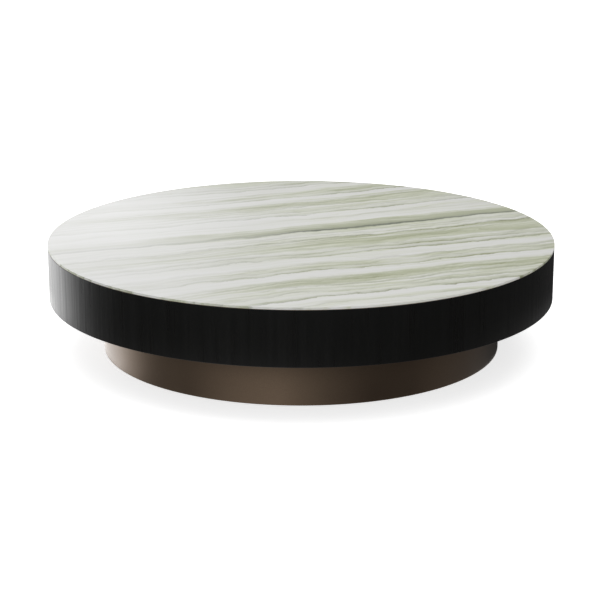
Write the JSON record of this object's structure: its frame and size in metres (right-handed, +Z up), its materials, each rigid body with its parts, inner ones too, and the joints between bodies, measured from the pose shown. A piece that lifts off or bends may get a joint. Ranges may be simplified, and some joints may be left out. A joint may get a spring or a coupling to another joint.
{
  "type": "round cocktail table",
  "caption": "Low round cocktail table: a thin veined stone slab on a wide black veneered drum, set on a narrower recessed bronze steel plinth with hidden levelling feet.",
  "frame": {"origin": "on the floor under the table's centre: the middle of the underside of the feet", "axes": "+Z up along the table's axis of symmetry; the table is round, and -Y is the side seen in the picture"},
  "size_m": [1.4, 1.4, 0.306],
  "materials": {
    "stone": "satin",
    "adhesive": "matte",
    "veneer": "satin",
    "core_board": "matte",
    "underside_board": "matte",
    "bent_plywood": "matte",
    "dowel": "matte",
    "zinc_steel": "satin",
    "gasket": "matte",
    "bronze_band": "satin",
    "plinth_steel": "satin",
    "foot_plastic": "matte",
    "felt": "matte"
  },
  "bodies": {
    "table": {"stone_top": "stone", "stone_adhesive_dabs": "adhesive", "rim_veneer": "veneer", "top_deck": "core_board", "bottom_deck": "underside_board", "hub": "core_board", "rib_dowels": "dowel", "rim_battens": "core_board", "top_deck_screws": "zinc_steel", "bottom_deck_screws": "zinc_steel", "base_gasket": "gasket", "plinth_band": "bronze_band", "plinth_top_flange": "plinth_steel", "plinth_bottom_flange": "plinth_steel", "plinth_bolts": "zinc_steel", "plinth_washers": "zinc_steel", "threaded_inserts": "zinc_steel", "rim_panel_1": "bent_plywood", "rim_panel_2": "bent_plywood", "rim_panel_3": "bent_plywood", "rim_panel_4": "bent_plywood", "rim_panel_5": "bent_plywood", "rim_panel_6": "bent_plywood", "rim_panel_7": "bent_plywood", "rim_panel_8": "bent_plywood", "rib_1": "core_board", "rib_2": "core_board", "rib_3": "core_board", "rib_4": "core_board", "rib_5": "core_board", "rib_6": "core_board", "rib_7": "core_board", "rib_8": "core_board", "gusset_1": "plinth_steel", "gusset_2": "plinth_steel", "gusset_3": "plinth_steel", "gusset_4": "plinth_steel", "gusset_5": "plinth_steel", "gusset_6": "plinth_steel", "gusset_7": "plinth_steel", "gusset_8": "plinth_steel", "foot_boss_1": "plinth_steel", "foot_boss_2": "plinth_steel", "foot_boss_3": "plinth_steel", "foot_boss_4": "plinth_steel"},
    "foot_1": {"foot_pad_1": "foot_plastic", "foot_sole_1": "felt"},
    "stud_1": {"foot_stud_1": "zinc_steel"},
    "foot_2": {"foot_pad_2": "foot_plastic", "foot_sole_2": "felt"},
    "stud_2": {"foot_stud_2": "zinc_steel"},
    "foot_3": {"foot_pad_3": "foot_plastic", "foot_sole_3": "felt"},
    "stud_3": {"foot_stud_3": "zinc_steel"},
    "foot_4": {"foot_pad_4": "foot_plastic", "foot_sole_4": "felt"},
    "stud_4": {"foot_stud_4": "zinc_steel"}
  },
  "joints": [
    {"name": "foot_1_lift", "type": "slide", "parent": "table", "child": "foot_1", "axis": [0, 0, 1], "range_m": [-0.01, 0.002]},
    {"name": "foot_1_turn", "type": "hinge", "parent": "foot_1", "child": "stud_1", "pos_m": [0.37038, 0.37038, 0], "axis": [0, 0, 1], "continuous": true},
    {"name": "foot_2_lift", "type": "slide", "parent": "table", "child": "foot_2", "axis": [0, 0, 1], "range_m": [-0.01, 0.002]},
    {"name": "foot_2_turn", "type": "hinge", "parent": "foot_2", "child": "stud_2", "pos_m": [-0.37038, 0.37038, 0], "axis": [0, 0, 1], "continuous": true},
    {"name": "foot_3_lift", "type": "slide", "parent": "table", "child": "foot_3", "axis": [0, 0, 1], "range_m": [-0.01, 0.002]},
    {"name": "foot_3_turn", "type": "hinge", "parent": "foot_3", "child": "stud_3", "pos_m": [-0.37038, -0.37038, 0], "axis": [0, 0, 1], "continuous": true},
    {"name": "foot_4_lift", "type": "slide", "parent": "table", "child": "foot_4", "axis": [0, 0, 1], "range_m": [-0.01, 0.002]},
    {"name": "foot_4_turn", "type": "hinge", "parent": "foot_4", "child": "stud_4", "pos_m": [0.37038, -0.37038, 0], "axis": [0, 0, 1], "continuous": true}
  ],
  "couplings": [
    {"joint": "foot_1_turn", "follows": "foot_1_lift", "rad_per_m": 4188.8},
    {"joint": "foot_2_turn", "follows": "foot_2_lift", "rad_per_m": 4188.8},
    {"joint": "foot_3_turn", "follows": "foot_3_lift", "rad_per_m": 4188.8},
    {"joint": "foot_4_turn", "follows": "foot_4_lift", "rad_per_m": 4188.8}
  ]
}
